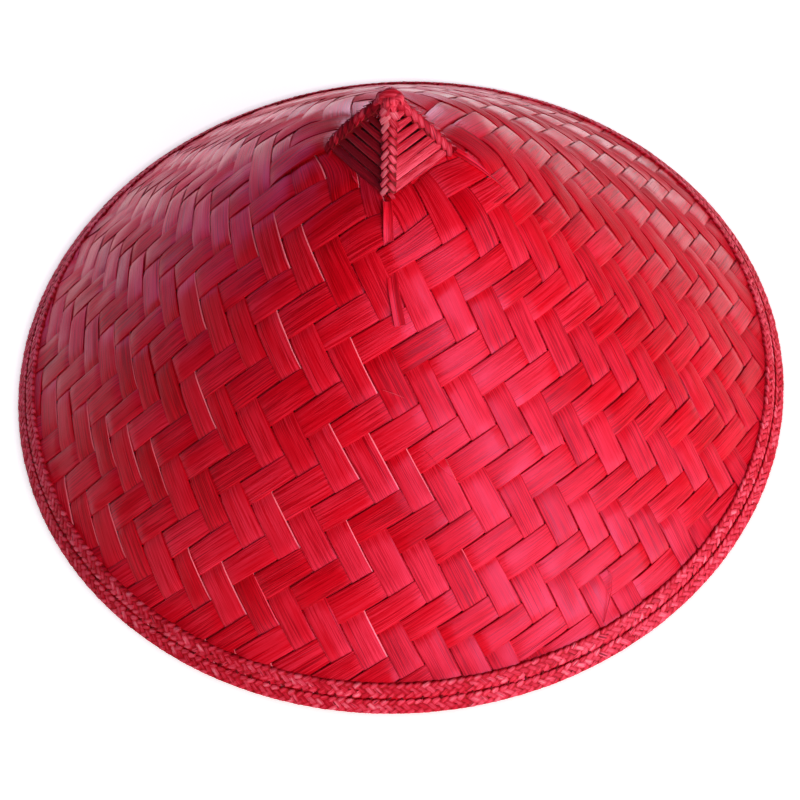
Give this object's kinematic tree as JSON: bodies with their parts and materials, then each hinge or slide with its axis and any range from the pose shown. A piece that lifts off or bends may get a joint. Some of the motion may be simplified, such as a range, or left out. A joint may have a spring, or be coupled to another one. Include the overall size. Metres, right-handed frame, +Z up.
{
  "type": "conical bamboo hat",
  "caption": "Round conical hat of flat red bamboo splints in a twill weave, with a small open-work plaited peak and a double plaited rim, hollow for the head.",
  "frame": {"origin": "centre of the rim, on the surface the hat rests on", "axes": "+Z up through the peak, -Y towards the front, +X to the hat's left as worn, which is the right of the picture"},
  "size_m": [0.4, 0.4, 0.1731],
  "materials": {
    "woven_splints": "flat split bamboo dyed bright red, satin",
    "peak_plait": "narrow bamboo splints dyed red, satin to matt",
    "rim_plait": "fine flat plait dyed red, matt"
  },
  "bodies": {
    "root": {"crown_wall": "woven_splints", "peak_panel_front_right": "peak_plait", "peak_panel_front_left": "peak_plait", "peak_panel_back_right": "peak_plait", "peak_panel_back_left": "peak_plait", "ridge_plait_front": "peak_plait", "ridge_plait_right": "peak_plait", "ridge_plait_back": "peak_plait", "ridge_plait_left": "peak_plait", "peak_knot": "peak_plait", "tip_fold": "peak_plait", "tail_splint_front": "woven_splints", "tail_splint_right": "woven_splints", "rim_plait_upper": "rim_plait", "rim_plait_lower": "rim_plait"}
  },
  "joints": []
}
